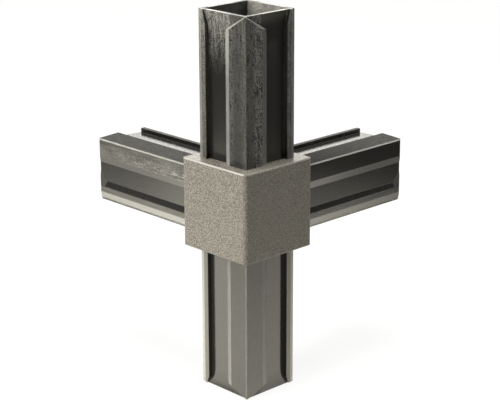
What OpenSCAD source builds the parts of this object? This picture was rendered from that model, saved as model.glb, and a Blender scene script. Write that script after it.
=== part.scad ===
// Four-way plastic connector for square tube: a cube hub with arms up, down and to two sides.
// The origin is the centre of the hub, where the axes of the four arms cross. +Z is up.

/* [Tube and hub] */
// Outside width of the square tube, and of the hub that ends flush with it
tube_w = 25; // [23:0.5:30]
// Wall thickness of the square tube
tube_wall = 3; // [2:0.25:3.25]
// Gap on each side between an arm and the inside of the tube
fit_gap = 0.25; // [0.1:0.05:0.4]
// Radius of the four upright edges of the hub
hub_edge_r = 1.4; // [0.8:0.1:2.5]
// Radius of the edges around the top and the bottom of the hub
hub_brim_r = 0.5; // [0.3:0.1:0.7]
// Web left across the hub between the bores of the upper and the lower arm
web_t = 3; // [2:0.5:8]

/* [Arms] */
// Length of the upper and the lower arm beyond the hub
up_l = 40.5; // [30:0.5:60]
// Length of the side arms beyond the hub
side_l = 41.25; // [30:0.25:60]
// Length by which the ends of the side arms come to a point, seen from above
end_point = 1; // [0.5:0.1:2]
// Wall between a groove floor and the bore of an arm
arm_wall = 1.1; // [0.9:0.1:2]
// Radius along the crest of each wide ridge
crest_r = 0.4; // [0.2:0.05:0.8]
// Radius around the outside of the upright arms' rims
rim_r = 0.2; // [0.1:0.05:0.3]
// Radius of the upright edges of the side arms' ends
end_r = 0.9; // [0.4:0.1:1.2]

/* [Grooves] */
// Depth of the grooves along the arms
groove_d = 1.25; // [0.8:0.05:1.5]
// Depth of the shallower grooves on the front and the back of the side arms
front_d = 0.65; // [0.4:0.05:0.8]
// Width of the wide ridges on the upright arms
up_wide = 6.2; // [5:0.1:7]
// Width over which these ridges slope down to the groove floor
up_slope = 2.6; // [1.8:0.1:3]
// Width of the narrow ridges on the upright arms
up_narrow = 3.2; // [2.6:0.1:4]
// Width of the wide ridges on the front and the back of the side arms
front_wide = 5; // [4:0.1:6]
// Width of the wide ridges on the top and the underside of the side arms
top_wide = 8.2; // [6.5:0.1:9]
// Width over which the wide ridges of the side arms slope down to the groove floor
side_slope = 2.1; // [1.6:0.1:3]
// Width of the narrow ridges on the front and the back of the side arms
front_narrow = 4.3; // [3.6:0.1:5]
// Width over which these narrow ridges slope down to the groove floor
front_wall = 1.6; // [1:0.1:2]
// Width of the narrow ridges on the top and the underside of the side arms
top_narrow = 2.2; // [1.8:0.1:2.8]

/* [Drawn-in edges] */
// Width of the sloping outer strip of the narrow ridges on the upright arms
up_strip = 1.75; // [1:0.05:2.2]
// Depth to which this strip draws in at the corner
up_strip_d = 0.45; // [0.2:0.05:0.6]
// Width of the sloping outer strip of the narrow ridges on the front of the side arms
front_strip = 2.75; // [2:0.05:3.2]
// Depth to which this strip draws in at the corner
front_strip_d = 0.95; // [0.4:0.05:1.1]

/* [Arm ends] */
// Length of the ridge ends on the upper arm, where the wide ones are pointed and the narrow ones slanted
upper_tip = 4; // [3:0.1:6]
// Length over which the groove floors of the upper arm sweep up to the rim
upper_rise = 8; // [6:0.5:12]
// Depth of the grooves at the rim of the upper arm
upper_rim_d = 0.3; // [0.25:0.05:0.5]
// Length of the ridge ends on the lower arm
lower_tip = 2.2; // [1.5:0.1:4]
// Length over which the groove floors of the lower arm sweep up to the rim
lower_rise = 4.5; // [4:0.25:8]
// Depth of the grooves at the rim of the lower arm
lower_rim_d = 0.5; // [0.3:0.05:0.7]
// Slope of the pointed ridge ends, in degrees from the face of the arm
tip_slope = 50; // [40:5:60]
// Width by which a slanted end narrows its ridge
slant = 0.9; // [0.5:0.1:1.5]
// Distance from the ends of the side arms at which the corners of their front grooves are closed
side_tip = 2.3; // [1.5:0.1:4]

/* [Hidden] */
$fn = 48;
plastic = [0.2, 0.19, 0.18];
hub_w = tube_w;
arm_w = tube_w - 2 * tube_wall - 2 * fit_gap;
bore_w = arm_w - 2 * (groove_d + arm_wall);
// Overlap by which an arm starts inside the hub
lap = 2;
// Amount by which a cutting shape runs past the solid that it cuts
over = 1;
// Depth of the upright bores below the hub face
up_bore = hub_w / 2 - web_t / 2;
// Depth of the side bores below the hub face, which stop short of the upright bores
side_bore = hub_w / 2 - bore_w / 2 - arm_wall;
// Reach of the cutting shapes that have no size of their own
reach = 2 * arm_w;

// A square with all four corners rounded
module soft_square(w, r) {
    square([w - 2 * r, w], center = true);
    square([w, w - 2 * r], center = true);
    for (x = [-1, 1], y = [-1, 1]) {
        translate([x * (w / 2 - r), y * (w / 2 - r)]) circle(r);
    }
}

// The section of an arm before its grooves, rounded at the crests of the two wide ridges
module arm_square() {
    h = arm_w / 2;
    c = h - crest_r;
    polygon([[-c, -h], [h, -h], [h, c], [c, h], [-h, h], [-h, -c]]);
    for (s = [-1, 1]) {
        translate([s * c, s * c]) circle(crest_r);
    }
}

// The outline of an arm seen from one side, with the corners of its end rounded and the end pointed
module arm_outline(l, r, point) {
    h = arm_w / 2;
    start = -lap - over;
    low = l - point;
    translate([-h - over, start]) square([2 * (h + over), low - r - start]);
    polygon(concat(
        [[r - h, start], [h - r, start], [h - r, low]],
        point > 0 ? [[0, l]] : [],
        [[r - h, low]]
    ));
    for (s = [-1, 1]) {
        translate([s * (h - r), low - r]) circle(r);
    }
}

// A shape with the same outline from the front and from the side, z up
module four_sided(w) {
    intersection() {
        rotate([90, 0, 0]) linear_extrude(w, center = true) children();
        rotate([90, 0, 90]) linear_extrude(w, center = true) children();
    }
}

module hub() {
    intersection() {
        linear_extrude(hub_w, center = true) soft_square(hub_w, hub_edge_r);
        rotate([90, 0, 0]) linear_extrude(hub_w + over, center = true) soft_square(hub_w, hub_brim_r);
        rotate([0, 90, 0]) linear_extrude(hub_w + over, center = true) soft_square(hub_w, hub_brim_r);
    }
}

// An arm without grooves and end: it stands on the hub face at z = 0
module arm_blank(l) {
    translate([0, 0, -lap]) linear_extrude(l + lap) arm_square();
}

// The cutting shapes below are drawn on a face with x across it from the wide ridge, y along the arm
// and z outward.

// Everything above the slope of a ridge
module above_slope(l, wide, slope, depth) {
    run = slope / depth;
    translate([0, l + over, 0])
        rotate([90, 0, 0])
            linear_extrude(l + lap + 2 * over)
                polygon([
                    [wide - over * run, over],
                    [wide + 2 * slope, -2 * depth],
                    [wide + 2 * reach, -2 * depth],
                    [wide + 2 * reach, over]
                ]);
}

// Measures a cut from the far edge of the face
module from_far_edge() {
    translate([arm_w, 0, 0]) mirror([1, 0, 0]) children();
}

// The part of the face that lies inside the steep wall of a narrow ridge
module inside_wall(l, narrow) {
    translate([-arm_w, -lap - over, -2 * groove_d])
        cube([2 * arm_w - narrow, l + lap + 2 * over, 2 * groove_d + over]);
}

// Everything above the sloping end of a wide ridge, which starts from the corner of the arm's end
module above_point(l, wide, tip) {
    translate([0, l, 0])
        rotate([-tip_slope, 0, -atan(tip / wide)])
            translate([-reach, -reach, 0])
                cube([2 * reach, 2 * reach, reach]);
}

// The part of the face beyond the steep slanted end of a narrow ridge
module beyond_slant(l, narrow, tip) {
    translate([arm_w - narrow, l - tip, 0])
        rotate(atan(tip / slant))
            translate([-reach, 0, -2 * groove_d])
                cube([2 * reach, reach, 2 * groove_d + over]);
}

// Everything above the slope that closes the last corner of a groove beside a narrow ridge
module above_corner(l, narrow, wall, depth, tip) {
    translate([narrow, l - tip, 0])
        rotate([0, atan(depth / wall), -45])
            translate([-reach, -reach, 0])
                cube([2 * reach, 2 * reach, reach]);
}

// Everything above a groove floor that is level up to a length
module above_floor(l, depth) {
    translate([-over, -lap - over, -depth])
        cube([arm_w + 2 * over, l + lap + over, depth + over]);
}

// Everything above a groove floor that sweeps up from the level to the end of the arm
module above_swept_floor(l, rise, rim_d) {
    lift = groove_d - rim_d;
    r = (rise * rise + lift * lift) / (2 * lift);
    above_floor(l - rise, groove_d);
    intersection() {
        translate([-over, l - rise, r - groove_d])
            rotate([0, 90, 0])
                cylinder(r = r, h = arm_w + 2 * over, $fn = 360);
        translate([-over, l - rise, -groove_d])
            cube([arm_w + 2 * over, rise + over, groove_d + over]);
    }
}

// A groove of the upright arms: the wide ridge beside it ends in a point, the narrow one in a slant
module up_groove(tip, rise, rim_d) {
    intersection() {
        above_swept_floor(up_l, rise, rim_d);
        union() {
            intersection() {
                above_slope(up_l, up_wide, up_slope, groove_d);
                inside_wall(up_l, up_narrow);
            }
            intersection() {
                above_point(up_l, up_wide, tip);
                beyond_slant(up_l, up_narrow, tip);
            }
        }
    }
}

// A groove on the front of the side arms: sloped on both sides, with one corner closed near the end
module front_groove() {
    intersection() {
        above_floor(side_l + over, front_d);
        above_slope(side_l, front_wide, side_slope, front_d);
        from_far_edge() above_slope(side_l, front_narrow, front_wall, front_d);
        from_far_edge() above_corner(side_l - end_point, front_narrow, front_wall, front_d, side_tip);
    }
}

// A groove on the top of the side arms: both ridges beside it run through to the end
module top_groove() {
    intersection() {
        above_floor(side_l + over, groove_d);
        above_slope(side_l, top_wide, side_slope, groove_d);
        inside_wall(side_l, top_narrow);
    }
}

// The wedge that draws in the outer strip of a narrow ridge
module strip(l, width, depth) {
    translate([0, l + over, 0])
        rotate([90, 0, 0])
            linear_extrude(l + lap + 2 * over)
                polygon([
                    [arm_w - 2 * width, depth],
                    [arm_w + width, -2 * depth],
                    [arm_w + width, over],
                    [arm_w - 2 * width, over]
                ]);
}

// Puts a cut on the face of an arm at -y, with the wide ridge at -x
module on_face() {
    translate([-arm_w / 2, -arm_w / 2, 0]) rotate([90, 0, 0]) children();
}

module up_arm(tip, rise, rim_d) {
    difference() {
        intersection() {
            arm_blank(up_l);
            four_sided(arm_w + 2 * over) arm_outline(up_l, rim_r, 0);
        }
        for (turn = [0, 180], flip = [0, 1]) {
            rotate(turn) mirror([flip, -flip, 0]) {
                on_face() up_groove(tip, rise, rim_d);
                on_face() strip(up_l, up_strip, up_strip_d);
            }
        }
    }
}

module side_arm() {
    difference() {
        intersection() {
            arm_blank(side_l);
            rotate([90, 0, 90])
                linear_extrude(arm_w + 2 * over, center = true)
                    arm_outline(side_l, end_r, end_point);
        }
        for (turn = [0, 180]) {
            rotate(turn) {
                on_face() front_groove();
                on_face() strip(side_l, front_strip, front_strip_d);
                mirror([1, -1, 0]) on_face() top_groove();
            }
        }
    }
}

// The square bore of an upright arm, which opens out towards the rim together with the groove floors
module up_hole(rise, rim_d) {
    b = bore_w / 2;
    mouth = arm_w / 2 - rim_d - arm_wall;
    flare = (mouth - b) / rise * over;
    four_sided(arm_w)
        polygon([
            [-b, -up_bore],
            [b, -up_bore],
            [b, up_l - rise],
            [mouth + flare, up_l + over],
            [-mouth - flare, up_l + over],
            [-b, up_l - rise]
        ]);
}

// The square bore of a side arm
module side_hole() {
    translate([-bore_w / 2, -bore_w / 2, -side_bore]) cube([bore_w, bore_w, side_bore + side_l + over]);
}

module to_top() {
    translate([0, 0, hub_w / 2]) children();
}

module to_bottom() {
    rotate(180, [1, 1, 0]) to_top() children();
}

module to_right() {
    translate([hub_w / 2, 0, 0]) rotate([0, 90, 0]) children();
}

module to_left() {
    mirror([1, -1, 0]) to_right() children();
}

module connector_body() {
    color(plastic)
    difference() {
        union() {
            hub();
            to_top() up_arm(upper_tip, upper_rise, upper_rim_d);
            to_bottom() up_arm(lower_tip, lower_rise, lower_rim_d);
            to_right() side_arm();
            to_left() side_arm();
        }
        to_top() up_hole(upper_rise, upper_rim_d);
        to_bottom() up_hole(lower_rise, lower_rim_d);
        to_right() side_hole();
        to_left() side_hole();
    }
}

connector_body();
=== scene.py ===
"""Studio scene for a moulded plastic cross connector for square tube, dressed over its CAD solid."""

import logging
import math
from dataclasses import dataclass, field
from enum import Enum
from functools import cached_property
from typing import Sequence, Union

import bpy
from mathutils import Matrix, Vector


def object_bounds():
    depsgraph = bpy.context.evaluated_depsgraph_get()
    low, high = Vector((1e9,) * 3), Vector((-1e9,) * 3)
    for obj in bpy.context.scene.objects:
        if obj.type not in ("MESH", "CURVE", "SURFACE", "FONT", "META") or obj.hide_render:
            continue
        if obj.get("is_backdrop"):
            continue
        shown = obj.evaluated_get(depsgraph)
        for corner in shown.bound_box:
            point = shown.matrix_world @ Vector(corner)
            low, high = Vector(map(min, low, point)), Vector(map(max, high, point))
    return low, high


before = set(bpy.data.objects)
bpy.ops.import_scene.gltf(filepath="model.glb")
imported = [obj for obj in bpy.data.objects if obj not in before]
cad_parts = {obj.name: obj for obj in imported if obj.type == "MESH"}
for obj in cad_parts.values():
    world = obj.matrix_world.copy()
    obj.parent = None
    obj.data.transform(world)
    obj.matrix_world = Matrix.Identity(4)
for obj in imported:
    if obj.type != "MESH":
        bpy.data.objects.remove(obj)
log = logging.getLogger("connector_scene")

Triple = tuple[float, float, float]
Colour = tuple[float, float, float]
Stops = Sequence[tuple[float, float]]
Socket = bpy.types.NodeSocket
Value = Union[Socket, float]

MILLIMETRES = 1000.0


class LampReach(Enum):
    """Which part of a surface's answer a lamp takes part in."""

    MATTE = "matte"
    GLOSS = "gloss"


class Border(Enum):
    """The lines along an arm at which one zone of its face gives way to the next."""

    WIDE_END = "wide_end"
    FLOOR_START = "floor_start"
    FLOOR_END = "floor_end"
    STRIP_START = "strip_start"


@dataclass(frozen=True)
class FaceLayout:
    """Where the borders lie on one kind of arm face, in millimetres from its wide ridge's crest."""

    wide_end: float
    floor_start: float
    floor_end: float
    strip_start: float

    def at(self, border: Border) -> float:
        """Gives the place of a border."""
        return getattr(self, border.value)


@dataclass(frozen=True)
class ByArm:
    """One value for each kind of arm face."""

    upper: float
    lower: float
    left_front: float
    right_front: float
    level_top: float


class Wiring:
    """Adds shader nodes to one node tree and links them."""

    def __init__(self, tree: bpy.types.NodeTree) -> None:
        """Empties the tree.

        Args:
            tree: The node tree of a material or a world.
        """
        tree.nodes.clear()
        self.tree = tree

    def add(self, kind: str, **settings: object) -> bpy.types.Node:
        """Adds one node.

        Args:
            kind: The node's type name.
            settings: Attributes to set on the node.

        Returns:
            The new node.
        """
        node = self.tree.nodes.new(kind)
        for key, value in settings.items():
            setattr(node, key, value)
        return node

    def feed(self, socket: Socket, value: object) -> None:
        """Links a socket into another, or sets it to a constant.

        Args:
            socket: The input to fill.
            value: An output socket, a number or a tuple.
        """
        if isinstance(value, bpy.types.NodeSocket):
            self.tree.links.new(value, socket)
        else:
            socket.default_value = value

    def math(self, operation: str, *inputs: Value, clamp: bool = False) -> Socket:
        """Combines numbers.

        Args:
            operation: The name of the operation.
            inputs: One to three numbers or sockets.
            clamp: Whether the result is held between 0 and 1.

        Returns:
            The result socket.
        """
        node = self.add("ShaderNodeMath", operation=operation, use_clamp=clamp)
        for slot, value in zip(node.inputs, inputs):
            self.feed(slot, value)
        return node.outputs[0]

    def total(self, *inputs: Value) -> Socket:
        """Adds up any number of values."""
        result = inputs[0]
        for value in inputs[1:]:
            result = self.math("ADD", result, value)
        return result

    def product(self, *inputs: Value) -> Socket:
        """Multiplies any number of values."""
        result = inputs[0]
        for value in inputs[1:]:
            result = self.math("MULTIPLY", result, value)
        return result

    def size(self, value: Value) -> Socket:
        """Gives a number without its sign."""
        return self.math("ABSOLUTE", value)

    def split(self, vector: Socket) -> list[Socket]:
        """Gives the three parts of a vector."""
        node = self.add("ShaderNodeSeparateXYZ")
        self.feed(node.inputs[0], vector)
        return list(node.outputs)

    def dot(self, first: Socket, second: object) -> Socket:
        """Gives the dot product of two vectors."""
        node = self.add("ShaderNodeVectorMath", operation="DOT_PRODUCT")
        self.feed(node.inputs[0], first)
        self.feed(node.inputs[1], second)
        return node.outputs["Value"]

    def ramp(self, value: Value, start: float, end: float, low: float = 0.0, high: float = 1.0) -> Socket:
        """Maps a number smoothly from one range to another, held at both ends.

        Args:
            value: The number to map.
            start: Where the result is low.
            end: Where the result is high.
            low: The result at start.
            high: The result at end.

        Returns:
            The result socket.
        """
        node = self.add("ShaderNodeMapRange", interpolation_type="SMOOTHSTEP")
        for slot, item in zip(node.inputs, (value, start, end, low, high)):
            self.feed(slot, item)
        return node.outputs[0]

    def curve(self, value: Socket, stops: Stops) -> Socket:
        """Follows a line through stops, held at both ends.

        Args:
            value: The number to map.
            stops: Pairs of a number and the result there, in rising order.

        Returns:
            The result socket.
        """
        first, last = stops[0][0], stops[-1][0]
        node = self.add("ShaderNodeValToRGB")
        self.feed(node.inputs[0], self.math("DIVIDE", self.math("SUBTRACT", value, first), last - first))
        elements = node.color_ramp.elements
        while len(elements) < len(stops):
            elements.new(0.5)
        for element, (place, result) in zip(elements, stops):
            element.position = (place - first) / (last - first)
            element.color = (result, result, result, 1.0)
        return node.outputs[0]

    def mix(self, factor: Value, first: Value, second: Value) -> Socket:
        """Mixes two numbers by a factor."""
        node = self.add("ShaderNodeMix", data_type="FLOAT")
        for slot, item in zip((node.inputs[0], node.inputs[2], node.inputs[3]), (factor, first, second)):
            self.feed(slot, item)
        return node.outputs[0]

    def blend(self, factor: Value, first: Socket, second: Socket) -> Socket:
        """Mixes two vectors by a factor."""
        node = self.add("ShaderNodeMix", data_type="VECTOR")
        for slot, item in zip((node.inputs[0], node.inputs[4], node.inputs[5]), (factor, first, second)):
            self.feed(slot, item)
        return node.outputs[1]

    def tint(self, factor: Value, first: object, second: object, way: str = "MIX") -> Socket:
        """Mixes two colours.

        Args:
            factor: How much of the second colour is taken.
            first: A socket or an RGB triple.
            second: A socket or an RGB triple.
            way: The way in which the colours are mixed.

        Returns:
            The mixed colour socket.
        """
        node = self.add("ShaderNodeMix", data_type="RGBA", blend_type=way)
        self.feed(node.inputs[0], factor)
        for slot, item in zip((node.inputs[6], node.inputs[7]), (first, second)):
            self.feed(slot, item if isinstance(item, bpy.types.NodeSocket) else (*item, 1.0))
        return node.outputs[2]

    def noise(self, vector: Socket, scale: float, detail: float = 3.0, rough: float = 0.55) -> Socket:
        """Gives a noise value around one half.

        Args:
            vector: Where the noise is read.
            scale: Waves for each unit of the vector.
            detail: Number of finer layers.
            rough: Strength of the finer layers.

        Returns:
            The noise socket.
        """
        node = self.add("ShaderNodeTexNoise")
        self.feed(node.inputs["Vector"], vector)
        for key, item in (("Scale", scale), ("Detail", detail), ("Roughness", rough)):
            node.inputs[key].default_value = item
        return node.outputs[0]


class ZoneMap:
    """Masks from 0 to 1 that tell the zones of the moulding apart, by place and by facing.

    A mask is made when it is first asked for. The first and the second axis are the two that lie across
    an arm: a face of the first kind looks along the first axis.
    """

    def __init__(self, wire: Wiring, body: "ConnectorBody") -> None:
        """Reads the place and the facing of a point, and the arm that it lies on.

        Args:
            wire: The material's wiring.
            body: The sizes of the moulding.
        """
        self.wire = wire
        self.body = body
        scale = wire.add("ShaderNodeVectorMath", operation="SCALE")
        wire.feed(scale.inputs[0], wire.add("ShaderNodeTexCoord").outputs["Object"])
        scale.inputs["Scale"].default_value = MILLIMETRES
        self.place = scale.outputs[0]
        self.x, self.y, self.z = wire.split(self.place)
        facing = wire.split(wire.add("ShaderNodeNewGeometry").outputs["True Normal"])
        self.facing_up = facing[2]
        self.nx, self.ny, self.nz = (wire.size(part) for part in facing)
        start = body.hub_half + body.seam
        self.upper = wire.math("GREATER_THAN", self.z, start)
        self.lower = wire.math("LESS_THAN", self.z, -start)
        self.right = wire.math("GREATER_THAN", self.x, start)
        self.left = wire.math("GREATER_THAN", self.y, start)
        self.upright = wire.math("ADD", self.upper, self.lower)
        self.arm = wire.math("ADD", self.upright, wire.math("ADD", self.right, self.left), clamp=True)
        self.first = wire.mix(self.right, self.x, self.y)
        self.second = wire.mix(self.upright, self.z, self.y)
        self.first_turn = wire.mix(self.right, self.nx, self.ny)
        self.second_turn = wire.mix(self.upright, self.nz, self.ny)

    def by_arm(self, values: ByArm) -> Socket:
        """Gives a value that differs from arm to arm."""
        wire = self.wire
        upright = wire.mix(self.lower, values.upper, values.lower)
        front = wire.mix(self.left, values.right_front, values.left_front)
        return wire.mix(self.front, wire.mix(self.upright, values.level_top, upright), front)

    def past(self, border: Border) -> Socket:
        """Gives how far a point lies past a border of its face.

        Args:
            border: The border.

        Returns:
            The distance in millimetres, below zero before the border.
        """
        body, wire = self.body, self.wire
        place = wire.mix(self.upright, body.level_top.at(border), body.upright_face.at(border))
        place = wire.mix(self.front, place, body.level_front.at(border))
        return wire.math("SUBTRACT", self.from_crest, place)

    @cached_property
    def on_first(self) -> Socket:
        """Faces of the first kind, such as the left side of an upright arm or the front of a level one."""
        return self.wire.math("GREATER_THAN", self.wire.size(self.first), self.wire.size(self.second))

    @cached_property
    def front(self) -> Socket:
        """Front and back of the level arms."""
        return self.wire.product(self.wire.math("SUBTRACT", 1.0, self.upright), self.on_first)

    @cached_property
    def from_crest(self) -> Socket:
        """Distance across the face from the crest of its wide ridge, in millimetres."""
        wire = self.wire
        corner = wire.product(self.first, self.second, wire.mix(self.upright, -1.0, 1.0))
        across = wire.math("MINIMUM", wire.size(self.first), wire.size(self.second))
        return wire.math("SUBTRACT", self.body.arm_half, wire.product(wire.math("SIGN", corner), across))

    @cached_property
    def drawn(self) -> Socket:
        """The point, drawn out along its arm for marks that run with it."""
        node = self.wire.add("ShaderNodeCombineXYZ")
        axes = ((self.x, self.right), (self.y, self.left), (self.z, self.upright))
        for slot, (part, arm) in zip(node.inputs, axes):
            self.wire.feed(slot, self.wire.product(part, self.wire.mix(arm, 1.0, self.body.mark_draw)))
        return node.outputs[0]

    @cached_property
    def along(self) -> Socket:
        """Share of the way along a level arm, from the hub to the end."""
        reach = self.wire.math("MAXIMUM", self.x, self.y)
        return self.wire.ramp(reach, self.body.hub_half, self.body.level_end)

    @cached_property
    def wide(self) -> Socket:
        """The wide ridges."""
        return self.wire.ramp(self.past(Border.WIDE_END), 0.3, -0.1)

    @cached_property
    def slope(self) -> Socket:
        """The slopes from the wide ridges to the groove floors."""
        wire = self.wire
        tilt = wire.ramp(wire.math("MINIMUM", self.first_turn, self.second_turn), 0.12, 0.22)
        after_ridge = wire.ramp(self.past(Border.WIDE_END), -0.3, 0.0)
        return wire.product(tilt, after_ridge, wire.ramp(self.past(Border.FLOOR_START), 0.15, -0.15))

    @cached_property
    def near_wall(self) -> Socket:
        """The groove floors of the upright arms, close to the wall of the narrow ridge."""
        return self.wire.product(self.upright, self.wire.ramp(self.past(Border.FLOOR_END), -3.2, -1.2))

    @cached_property
    def wall(self) -> Socket:
        """The walls of the narrow ridges."""
        sideways = self.wire.mix(self.on_first, self.first_turn, self.second_turn)
        return self.wire.product(self.arm, self.wire.ramp(sideways, 0.75, 0.9))

    @cached_property
    def narrow(self) -> Socket:
        """The narrow ridges."""
        return self.wire.ramp(self.past(Border.FLOOR_END), -0.2, 0.2)

    @cached_property
    def strip(self) -> Socket:
        """The drawn-in outer strips of the narrow ridges."""
        return self.wire.ramp(self.past(Border.STRIP_START), -0.1, 0.4)

    @cached_property
    def crest(self) -> Socket:
        """The rounded crests of the wide ridges."""
        return self.wire.product(self.arm, self.wire.ramp(self.from_crest, 0.5, 0.2))

    @cached_property
    def tip(self) -> Socket:
        """The bevelled arrow ends of the wide ridges."""
        wire = self.wire
        return wire.product(self.upright, wire.ramp(self.nz, 0.35, 0.5), wire.ramp(self.nz, 0.97, 0.85))

    @cached_property
    def mouth(self) -> Socket:
        """The left face of the upper arm, rising towards the rim, where paler colour is laid as painted
        light.
        """
        return self.wire.product(self.on_first, self.wire.ramp(self.z, *self.body.mouth_heights))

    @cached_property
    def band(self) -> Socket:
        """Paler lengthwise bands of the upper arm's wide ridges: two on the left face, one on the right."""
        wire = self.wire
        left = wire.ramp(wire.size(wire.math("SUBTRACT", self.from_crest, self.body.dark_band)), 0.8, 2.4)
        right = wire.ramp(self.from_crest, 2.2, 4.2)
        return wire.product(self.upper, self.wide, wire.mix(self.on_first, right, left))

    @cached_property
    def turned(self) -> Socket:
        """The right face of the upper arm, which the key lamp does not reach."""
        return self.wire.product(self.upper, self.wire.math("SUBTRACT", 1.0, self.on_first))

    @cached_property
    def rim(self) -> Socket:
        """The flat rim of the upper arm."""
        return self.wire.product(self.upper, self.wire.ramp(self.facing_up, 0.9, 0.98))

    @cached_property
    def right_top(self) -> Socket:
        """The top of the right arm, fading out towards its end."""
        not_front = self.wire.math("SUBTRACT", 1.0, self.front)
        return self.wire.product(self.right, not_front, self.wire.math("SUBTRACT", 1.0, self.along))

    @cached_property
    def end(self) -> Socket:
        """The slanted last stretch of the level arms' fronts."""
        lengthwise = self.wire.mix(self.right, self.ny, self.nx)
        return self.wire.product(self.front, self.wire.ramp(lengthwise, 0.1, 0.2))

    @cached_property
    def streak(self) -> Socket:
        """The scuffed lower half of the left arm's front ridge, stronger towards the hub."""
        wire = self.wire
        near_hub = wire.mix(self.along, 1.0, 0.2)
        return wire.product(self.front, self.left, self.wide, wire.ramp(self.from_crest, 1.2, 3.6), near_hub)

    @cached_property
    def brim(self) -> Socket:
        """The rounded edge around the top of the hub, where a painted highlight lies: full on the left, faint
        on the right.
        """
        body, wire = self.body, self.wire
        flat = wire.math("MAXIMUM", wire.size(self.x), wire.size(self.y))
        start, full = (body.hub_half - depth for depth in body.brim_depths)
        right = wire.ramp(self.y, 1.0 - body.hub_half, 0.3 - body.hub_half, 1.0, body.brim_right)
        return wire.product(wire.ramp(flat, start, full), wire.ramp(self.z, start, full), right)

    @cached_property
    def hub_top(self) -> Socket:
        """The flat top of the hub."""
        return self.wire.ramp(self.facing_up, 0.9, 0.98)

    @cached_property
    def inside(self) -> Socket:
        """The bores."""
        body, wire = self.body, self.wire
        height = wire.math("MAXIMUM", wire.size(self.first), wire.size(self.second))
        return wire.product(self.arm, wire.math("LESS_THAN", height, body.bore_half + body.bore_flare))


@dataclass(frozen=True)
class Marks:
    """The patterns of the surface: grain, large specks, grit with flow marks, and scuffs."""

    grain: Socket
    speck: Socket
    pattern: Socket
    scuff: Socket


@dataclass(frozen=True)
class SoftEdge:
    """The normal with softened outer edges, and a mask along them."""

    normal: Socket
    mask: Socket


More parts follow.
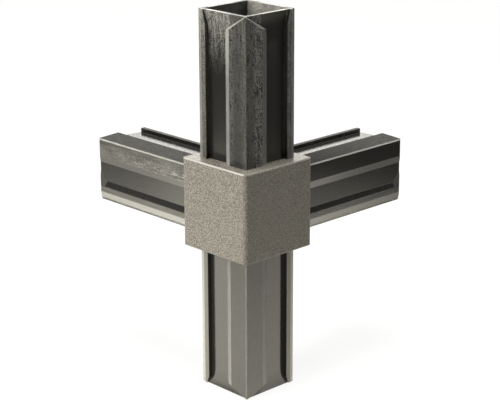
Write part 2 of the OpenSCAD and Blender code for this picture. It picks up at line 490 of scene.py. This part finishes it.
@dataclass(frozen=True)
class MouldedPlastic:
    """Dark warm-grey plastic: spark-eroded hub, gritty ridges, smooth groove floors, pale outer strips that
    are partly scuffed and partly painted reflection, with painted highlights, painted light and painted shade
    on some zones.
    """

    name: str = "moulded_plastic"
    hub_colour: Colour = (0.243, 0.229, 0.201)
    dark_colour: Colour = (0.027, 0.0266, 0.0245)
    ridge_colour: Colour = (0.012, 0.0118, 0.0108)
    # Painted shade: the walls of the narrow ridges are painted nearly black.
    wall_shade_colour: Colour = (0.003, 0.003, 0.003)
    pale_colour: Colour = (0.16, 0.156, 0.142)
    # Pale colour for scuffs and for painted highlights and reflections.
    scuff_and_highlight_colour: Colour = (0.46, 0.46, 0.435)
    # Dark bore colour for the shaded walls and a lit copy for the walls facing along x: painted light.
    bore_colour: Colour = (0.03, 0.0295, 0.027)
    lit_bore_colour: Colour = (0.26, 0.256, 0.238)
    # Pale colour of the outer edges: partly wear, partly painted highlight.
    worn_and_highlight_colour: Colour = (0.16, 0.155, 0.14)
    # Painted shade: the upper arm's floors and ridges are painted darker than the other arms.
    painted_shade_by_arm: ByArm = ByArm(0.45, 1.0, 1.0, 1.0, 1.0)
    ridge_pale: ByArm = ByArm(0.34, 0.12, 1.0, 0.0, 0.3)
    strip_scuff_and_reflection: ByArm = ByArm(0.45, 1.0, 1.0, 1.0, 0.0)
    slope_highlight: ByArm = ByArm(0.8, 0.6, 0.15, 0.0, 0.2)
    tip_highlight: ByArm = ByArm(1.0, 1.0, 0.0, 0.0, 0.0)
    crest_highlight: ByArm = ByArm(0.15, 0.6, 0.8, 0.8, 0.8)
    ridge_rough: ByArm = ByArm(0.22, 0.36, 0.34, 0.14, 0.58)
    ridge_relief: ByArm = ByArm(1.0, 0.12, 0.15, 0.0, 0.5)
    hub_rough: float = 0.62
    top_rough: float = 0.22
    floor_rough: float = 0.18
    wall_side_rough: float = 0.12
    slope_rough: float = 0.5
    tip_rough: float = 0.22
    inner_rough: float = 0.5
    edge_radius: float = 0.00018
    edge_shelter: float = 0.0007
    relief: float = 0.0002
    relief_strength: float = 0.6
    smooth_relief: float = 0.03
    inner_relief: float = 0.4
    gloss: float = 0.5
    ior: float = 1.5
    hub_swing: float = 0.75
    bore_swing: float = 0.3
    end_pale: float = 0.22
    rim_highlight: float = 0.8
    streak_scuff: float = 0.75
    wall_shade_share: float = 0.97

    def build(self, body: "ConnectorBody") -> bpy.types.Material:
        """Makes the material.

        Args:
            body: The sizes by which the zones of the moulding are told apart.

        Returns:
            The finished material.
        """
        material = bpy.data.materials.new(self.name)
        material.use_nodes = True
        wire = Wiring(material.node_tree)
        output = wire.add("ShaderNodeOutputMaterial")
        shader = wire.add("ShaderNodeBsdfPrincipled")
        wire.feed(output.inputs["Surface"], shader.outputs[0])
        zones = ZoneMap(wire, body)
        marks = self._marks(wire, zones)
        edge = self._edge(wire)
        # Outer edges are painted paler: partly wear, partly painted highlight.
        wear_and_highlight = wire.product(edge.mask, wire.ramp(marks.speck, 0.35, 0.65, 0.1, 0.7))
        arm = self._arm_colour(wire, zones, marks)
        colour = wire.tint(zones.arm, self._hub_colour(wire, zones, marks), arm)
        wire.feed(shader.inputs["Base Color"], wire.tint(wear_and_highlight, colour, self.worn_and_highlight_colour))
        wire.feed(shader.inputs["Roughness"], self._roughness(wire, zones, marks))
        shader.inputs["Specular IOR Level"].default_value = self.gloss
        shader.inputs["IOR"].default_value = self.ior
        wire.feed(shader.inputs["Normal"], self._relief(wire, zones, marks, edge.normal))
        return material

    @staticmethod
    def _marks(wire: Wiring, zones: ZoneMap) -> Marks:
        """Makes the patterns of the surface."""
        grit = wire.noise(zones.place, 2.3, 3.0, 0.75)
        flow = wire.noise(zones.drawn, 0.9, 4.0, 0.62)
        fine_flow = wire.noise(zones.drawn, 1.4, 4.0, 0.66)
        gritty = wire.ramp(wire.mix(0.4, grit, fine_flow), 0.47, 0.55)
        flowing = wire.ramp(wire.mix(0.5, grit, flow), 0.42, 0.60, 0.35, 1.0)
        return Marks(
            grain=wire.noise(zones.place, 3.3, 2.0, 0.75),
            speck=wire.noise(zones.place, 1.2, 3.0, 0.6),
            pattern=wire.mix(wire.product(zones.front, zones.arm), gritty, flowing),
            scuff=wire.ramp(wire.mix(0.6, grit, fine_flow), 0.46, 0.60),
        )

    @staticmethod
    def _swing(wire: Wiring, value: Socket, colour: Colour, swing: float) -> Socket:
        """Lets a colour swing around its mean with a pattern."""
        low, high = ([part * share for part in colour] for share in (1 - swing, 1 + swing))
        return wire.tint(value, low, high)

    def _hub_colour(self, wire: Wiring, zones: ZoneMap, marks: Marks) -> Socket:
        """Gives the grained colour of the hub, with a painted highlight along its brim."""
        grained = self._swing(wire, wire.ramp(marks.grain, 0.32, 0.68), self.hub_colour, self.hub_swing)
        # Painted highlight: the brim is painted pale, full on the left and faint on the right.
        return wire.tint(zones.brim, grained, self.scuff_and_highlight_colour)

    def _arm_colour(self, wire: Wiring, zones: ZoneMap, marks: Marks) -> Socket:
        """Gives the colour of the arms: dark floors with painted shade on the upper arm, paler ridges, strips
        that are partly scuffed and partly painted reflection, painted highlights on slopes and tips, painted
        shade on the walls and painted light in the bores.
        """
        # Random specks of tone, times painted shade that darkens the upper arm.
        shade = wire.product(wire.ramp(marks.speck, 0.3, 0.7, 0.86, 1.14), zones.by_arm(self.painted_shade_by_arm))
        dark = wire.tint(1.0, wire.tint(zones.wide, self.dark_colour, self.ridge_colour), shade, "MULTIPLY")
        # Painted reflection: the ridges of the upper arm's right face, which the key lamp does not reach, are
        # painted three times as pale.
        wide = wire.product(zones.wide, zones.by_arm(self.ridge_pale), wire.mix(zones.turned, 1.0, 3.0))
        wide = wire.product(wide, wire.mix(wire.math("SUBTRACT", zones.upper, zones.band), 1.0, 0.3))
        wide = wire.product(wide, wire.math("SUBTRACT", 1.0, zones.right_top))
        # Painted light: the upper arm's left face is painted paler towards the rim.
        mouth = wire.product(zones.mouth, wire.mix(zones.wide, 1.0, 0.25))
        pale = wire.product(wire.math("MAXIMUM", wide, mouth), marks.pattern)
        pale = wire.math("MAXIMUM", pale, wire.product(zones.end, self.end_pale))
        narrow = wire.product(zones.narrow, wire.mix(zones.lower, wire.mix(marks.pattern, 0.3, 0.9), 1.0))
        arm = wire.tint(wire.math("MAXIMUM", pale, narrow, clamp=True), dark, self.pale_colour)
        # Scuffs, painted highlights, painted reflection and painted light all mix towards the same pale
        # colour.
        arm = wire.tint(self._scuffs_and_highlights(wire, zones, marks), arm, self.scuff_and_highlight_colour)
        # Painted shade: the walls of the narrow ridges are painted nearly black, darkening the groove
        # corners.
        arm = wire.tint(wire.product(zones.wall, self.wall_shade_share), arm, self.wall_shade_colour)
        # Painted light: bore walls of the upright arms that face along x get a lit copy of the bore colour,
        # the others the dark one.
        lit = wire.product(zones.upright, wire.ramp(zones.nx, 0.4, 0.6))
        lit_bore = self._swing(wire, marks.pattern, self.lit_bore_colour, self.bore_swing)
        return wire.tint(zones.inside, arm, wire.tint(lit, self.bore_colour, lit_bore))

    def _scuffs_and_highlights(self, wire: Wiring, zones: ZoneMap, marks: Marks) -> Socket:
        """Gives how far each place of an arm is painted pale: scuffs on the left arm's front ridge, painted
        highlights on the slopes, tips, crests and rim, painted reflection together with scuffs on the outer
        strips, paler bands on the upper arm's ridges, and painted light on its left face near the rim.
        """
        # Painted light: the slopes are painted paler still towards the rim on the upper arm's left face.
        rising = wire.mix(zones.mouth, 1.0, 1.9)
        off_ridge = wire.mix(zones.wide, 1.0, 0.2)
        scuffs = wire.total(
            # Painted reflection together with scuffs on the strips; painted highlights on slopes, tips,
            # crests and rim.
            wire.product(zones.strip, zones.by_arm(self.strip_scuff_and_reflection)),
            wire.product(zones.slope, zones.by_arm(self.slope_highlight), rising),
            wire.product(zones.tip, zones.by_arm(self.tip_highlight)),
            wire.product(zones.crest, zones.by_arm(self.crest_highlight)),
            wire.product(zones.rim, self.rim_highlight),
            # Paler bands, painted paler still on the upper arm's right face as painted reflection.
            wire.product(zones.band, marks.pattern, wire.mix(zones.turned, 0.07, 0.34)),
            wire.product(zones.streak, marks.scuff, self.streak_scuff),
            # Painted light on the upper arm's left face near the rim.
            wire.product(zones.mouth, zones.mouth, off_ridge, wire.mix(marks.pattern, 0.18, 0.42)),
        )
        return wire.math("MULTIPLY", scuffs, wire.mix(marks.pattern, 0.75, 1.0), clamp=True)

    def _roughness(self, wire: Wiring, zones: ZoneMap, marks: Marks) -> Socket:
        """Gives the roughness of each zone."""
        ridge = wire.math("MULTIPLY_ADD", marks.pattern, 0.04, zones.by_arm(self.ridge_rough))
        ridge = wire.math("MULTIPLY_ADD", zones.right_top, 0.25, ridge)
        floor = wire.mix(zones.near_wall, self.floor_rough, self.wall_side_rough)
        floor = wire.math("MULTIPLY_ADD", wire.math("SUBTRACT", marks.speck, 0.5), 0.03, floor)
        arm = wire.mix(wire.math("MAXIMUM", zones.wide, zones.narrow), floor, ridge)
        for zone, rough in (
            (wire.product(zones.lower, zones.slope), self.slope_rough),
            (zones.tip, self.tip_rough),
            (zones.end, self.inner_rough),
            (zones.wall, self.floor_rough),
            (zones.inside, self.inner_rough),
        ):
            arm = wire.mix(zone, arm, rough)
        hub = wire.mix(zones.hub_top, self.hub_rough, self.top_rough)
        hub = wire.math("MULTIPLY_ADD", wire.math("SUBTRACT", marks.grain, 0.5), 0.16, hub)
        return wire.mix(zones.arm, hub, arm)

    def _edge(self, wire: Wiring) -> SoftEdge:
        """Softens the outer edges, and leaves the inner corners sharp."""
        soft = wire.add("ShaderNodeBevel", samples=6)
        soft.inputs["Radius"].default_value = self.edge_radius
        flat = wire.add("ShaderNodeNewGeometry")
        open_air = wire.add("ShaderNodeAmbientOcclusion", samples=6, only_local=True)
        open_air.inputs["Distance"].default_value = self.edge_shelter
        outer = wire.ramp(open_air.outputs["AO"], 0.80, 0.97)
        bend = wire.ramp(wire.dot(soft.outputs[0], flat.outputs["True Normal"]), 0.985, 0.86)
        return SoftEdge(
            normal=wire.blend(outer, flat.outputs["Normal"], soft.outputs[0]),
            mask=wire.product(outer, bend),
        )

    def _relief(self, wire: Wiring, zones: ZoneMap, marks: Marks, normal: Socket) -> Socket:
        """Gives the grain of the hub and the marks of the ridges as bump."""
        ridge = zones.by_arm(self.ridge_relief)
        share = wire.mix(wire.math("MAXIMUM", zones.wide, zones.narrow), self.smooth_relief, ridge)
        share = wire.mix(zones.inside, wire.mix(zones.tip, share, self.smooth_relief), self.inner_relief)
        bump = wire.add("ShaderNodeBump")
        bump.inputs["Strength"].default_value = self.relief_strength
        bump.inputs["Distance"].default_value = self.relief
        hub = wire.product(marks.grain, wire.mix(zones.hub_top, 1.0, 0.3))
        wire.feed(bump.inputs["Height"], wire.mix(zones.arm, hub, wire.product(marks.pattern, share)))
        wire.feed(bump.inputs["Normal"], normal)
        return bump.outputs[0]


@dataclass(frozen=True)
class ConnectorBody:
    """The one-piece moulding: its sizes in millimetres, where its marks lie, and its finish."""

    node: str = "connector_body"
    hub_half: float = 12.5
    seam: float = 0.03
    arm_half: float = 9.25
    bore_half: float = 6.9
    bore_flare: float = 1.0
    level_end: float = 53.75
    mark_draw: float = 0.16
    mouth_heights: tuple[float, float] = (34.0, 51.0)
    dark_band: float = 3.1
    brim_depths: tuple[float, float] = (0.45, 0.25)
    brim_right: float = 0.12
    upright_face: FaceLayout = FaceLayout(6.2, 8.8, 15.3, 16.75)
    level_front: FaceLayout = FaceLayout(5.0, 7.1, 14.2, 15.75)
    level_top: FaceLayout = FaceLayout(8.2, 10.3, 16.3, 18.5)
    finish: MouldedPlastic = field(default_factory=MouldedPlastic)

    def dress(self) -> bpy.types.Object:
        """Gives the CAD solid its material.

        Returns:
            The dressed object.
        """
        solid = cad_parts[self.node]
        solid.data.materials.clear()
        solid.data.materials.append(self.finish.build(self))
        return solid


def outward(azimuth: float, elevation: float) -> Vector:
    """Gives the direction from the part to a place around it.

    Args:
        azimuth: Degrees around the part, from the front at -Y towards +X.
        elevation: Degrees above the level.

    Returns:
        The unit vector.
    """
    a, e = math.radians(azimuth), math.radians(elevation)
    return Vector((math.sin(a) * math.cos(e), -math.cos(a) * math.cos(e), math.sin(e)))


@dataclass(frozen=True)
class SoftLamp:
    """A soft studio lamp that looks at the connector."""

    name: str
    reach: LampReach
    azimuth: float
    elevation: float
    distance: float
    size: tuple[float, float]
    level: float
    colour: Colour = (1.0, 0.97, 0.90)

    def build(self) -> bpy.types.Object:
        """Makes the lamp. A level of 1 shows a surface that faces it in its own colour.

        Returns:
            The lamp object.
        """
        data = bpy.data.lights.new(self.name, "AREA")
        data.shape = "RECTANGLE"
        data.size, data.size_y = self.size
        data.energy = self.level * math.pi**2 * self.distance**2
        data.color = self.colour
        lamp = bpy.data.objects.new(self.name, data)
        bpy.context.scene.collection.objects.link(lamp)
        away = outward(self.azimuth, self.elevation)
        lamp.location = away * self.distance
        lamp.rotation_euler = away.to_track_quat("Z", "Y").to_euler()
        lamp.visible_camera = False
        lamp.visible_glossy = self.reach is LampReach.GLOSS
        lamp.visible_diffuse = self.reach is LampReach.MATTE
        return lamp


@dataclass(frozen=True)
class TableSheen:
    """How bright the pale table is where the smooth faces mirror it: a pool of light around the foot."""

    peak: float = 3.45
    rest: float = 0.02
    colour: Colour = (1.0, 0.955, 0.82)
    across: tuple[float, float] = (0.723, -0.691)
    away: tuple[float, float] = (0.690, 0.723)
    foot_reach: float = 0.12
    across_stops: Stops = (
        (-0.238, 0.0), (-0.212, 0.92), (-0.18, 1.0), (-0.03, 1.0),
        (0.02, 0.80), (0.094, 0.65), (0.183, 0.36), (0.222, 0.0),
    )
    away_stops: Stops = (
        (-0.2, 0.3), (-0.06, 1.0), (0.005, 1.0), (0.023, 1.0),
        (0.037, 0.43), (0.052, 0.33), (0.2, 0.25), (0.4, 0.15),
    )

    def build(self, wire: Wiring) -> Socket:
        """Adds the pool to the floor's shader.

        Args:
            wire: The floor's wiring.

        Returns:
            The strength of the pool at each point of the floor.
        """
        x, y, _ = wire.split(wire.add("ShaderNodeTexCoord").outputs["Object"])
        across, away = (
            wire.math("MULTIPLY_ADD", x, axis[0], wire.product(y, axis[1]))
            for axis in (self.across, self.away)
        )
        foot = wire.product(
            wire.ramp(wire.size(across), self.foot_reach, self.foot_reach / 2),
            wire.ramp(away, self.foot_reach, self.foot_reach / 2),
        )
        fall = wire.math("MAXIMUM", wire.curve(away, self.away_stops), foot)
        pool = wire.product(wire.curve(across, self.across_stops), fall)
        return wire.math("MULTIPLY_ADD", pool, self.peak, self.rest)


@dataclass(frozen=True)
class Studio:
    """Pale floor, white surroundings and the lamps."""

    floor_height: float
    floor_span: float = 6.0
    floor_colour: Colour = (0.14, 0.139, 0.135)
    floor_lift: float = 0.9
    ambient: float = 0.10
    dim: float = 0.06
    horizon: float = 0.3
    behind_part: tuple[float, float] = (0.35, 0.8)
    low_down: tuple[float, float] = (0.60, 0.36)
    sheen: TableSheen = field(default_factory=TableSheen)
    lamps: Sequence[SoftLamp] = (
        SoftLamp("key_softbox", LampReach.MATTE, -110.0, 24.0, 0.9, (0.6, 0.8), 1.28),
        SoftLamp("front_fill", LampReach.MATTE, 12.0, 30.0, 1.0, (0.7, 0.7), 0.07),
        SoftLamp("top_softbox", LampReach.MATTE, -43.7, 88.0, 1.0, (0.4, 0.4), 0.9),
        SoftLamp("back_strip", LampReach.GLOSS, 136.3, 17.7, 1.0, (1.2, 0.16), 0.23),
        SoftLamp("right_card", LampReach.GLOSS, 43.6, 1.5, 0.8, (0.6, 0.1), 0.15),
        SoftLamp("left_edge_card", LampReach.GLOSS, -155.2, 43.5, 0.9, (0.5, 0.5), 0.8),
        SoftLamp("right_edge_card", LampReach.GLOSS, 65.2, 43.5, 0.9, (0.5, 0.5), 0.8),
    )

    def build(self) -> list[bpy.types.Object]:
        """Makes the floor, the world and the lamps.

        Returns:
            The stage objects.
        """
        floor = self._floor()
        self._world()
        return [floor, *(lamp.build() for lamp in self.lamps)]

    def _floor(self) -> bpy.types.Object:
        """Makes the pale floor, which keeps the shadow of the part."""
        half = self.floor_span / 2
        mesh = bpy.data.meshes.new("studio_floor")
        corners = [(-half, -half, 0), (half, -half, 0), (half, half, 0), (-half, half, 0)]
        mesh.from_pydata(corners, [], [(0, 1, 2, 3)])
        floor = bpy.data.objects.new("studio_floor", mesh)
        floor.location.z = self.floor_height
        bpy.context.scene.collection.objects.link(floor)
        floor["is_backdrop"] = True
        mesh.materials.append(self._floor_finish())
        return floor

    def _floor_finish(self) -> bpy.types.Material:
        """Makes the matte floor, white to the camera and a pool of light to glossy faces."""
        material = bpy.data.materials.new("pale_floor")
        material.use_nodes = True
        material.cycles.emission_sampling = "NONE"
        wire = Wiring(material.node_tree)
        output = wire.add("ShaderNodeOutputMaterial")
        matte = wire.add("ShaderNodeBsdfDiffuse")
        matte.inputs["Color"].default_value = (*self.floor_colour, 1.0)
        lift = wire.add("ShaderNodeEmission")
        path = wire.add("ShaderNodeLightPath")
        mirrored, seen = path.outputs["Is Glossy Ray"], path.outputs["Is Camera Ray"]
        wire.feed(lift.inputs["Color"], wire.tint(mirrored, (1.0, 1.0, 1.0), self.sheen.colour))
        pool = wire.product(mirrored, self.sheen.build(wire))
        wire.feed(lift.inputs["Strength"], wire.math("MULTIPLY_ADD", seen, self.floor_lift, pool))
        both = wire.add("ShaderNodeAddShader")
        wire.feed(both.inputs[0], matte.outputs[0])
        wire.feed(both.inputs[1], lift.outputs[0])
        wire.feed(output.inputs["Surface"], both.outputs[0])
        return material

    def _world(self) -> None:
        """Makes surroundings that are white to the camera and pale to glossy faces, low behind the part."""
        world = bpy.data.worlds.new("white_surroundings")
        world.use_nodes = True
        wire = Wiring(world.node_tree)
        output = wire.add("ShaderNodeOutputWorld")
        back = wire.add("ShaderNodeBackground")
        where = wire.add("ShaderNodeTexCoord").outputs["Generated"]
        behind = wire.ramp(wire.dot(where, (*self.sheen.away, 0.0)), *self.behind_part)
        low = wire.ramp(wire.split(where)[2], *self.low_down)
        mirrored = wire.mix(wire.product(behind, low), self.dim, self.horizon)
        path = wire.add("ShaderNodeLightPath")
        strength = wire.mix(path.outputs["Is Glossy Ray"], self.ambient, mirrored)
        seen = wire.math("MAXIMUM", path.outputs["Is Camera Ray"], path.outputs["Is Transmission Ray"])
        wire.feed(back.inputs["Strength"], wire.mix(seen, strength, 1.0))
        back.inputs["Color"].default_value = (1.0, 1.0, 1.0, 1.0)
        wire.feed(output.inputs["Surface"], back.outputs[0])
        bpy.context.scene.world = world


@dataclass(frozen=True)
class ProductCamera:
    """The camera, placed by its angles around the part."""

    azimuth: float = -43.7
    elevation: float = 17.561
    distance: float = 0.42232
    aim: Triple = (0.000548, -0.000524, 0.000331)
    sensor: float = 36.0
    lens: float = 111.951
    roll: float = -0.207
    clip: tuple[float, float] = (0.01, 50.0)

    def build(self) -> bpy.types.Object:
        """Makes the camera and sets it as the scene's.

        Returns:
            The camera object.
        """
        data = bpy.data.cameras.new("product_camera")
        data.sensor_width, data.lens = self.sensor, self.lens
        data.clip_start, data.clip_end = self.clip
        camera = bpy.data.objects.new("product_camera", data)
        bpy.context.scene.collection.objects.link(camera)
        back = outward(self.azimuth, self.elevation)
        spin = Matrix.Rotation(math.radians(self.roll), 4, "Z")
        turn = back.to_track_quat("Z", "Y").to_matrix().to_4x4()
        camera.matrix_world = Matrix.Translation(Vector(self.aim) + back * self.distance) @ turn @ spin
        bpy.context.scene.camera = camera
        return camera


def main() -> None:
    """Builds the scene piece by piece."""
    logging.basicConfig(level=logging.INFO, format="%(message)s")
    cad_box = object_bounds()
    floor_gap = 0.0001
    bpy.context.scene.view_settings.view_transform = "Standard"
    log.info("camera %s", ProductCamera().build().name)
    log.info("dressed %s", ConnectorBody().dress().name)
    for item in Studio(floor_height=cad_box[0].z - floor_gap).build():
        log.info("stage %s", item.name)


if __name__ == "__main__":
    main()
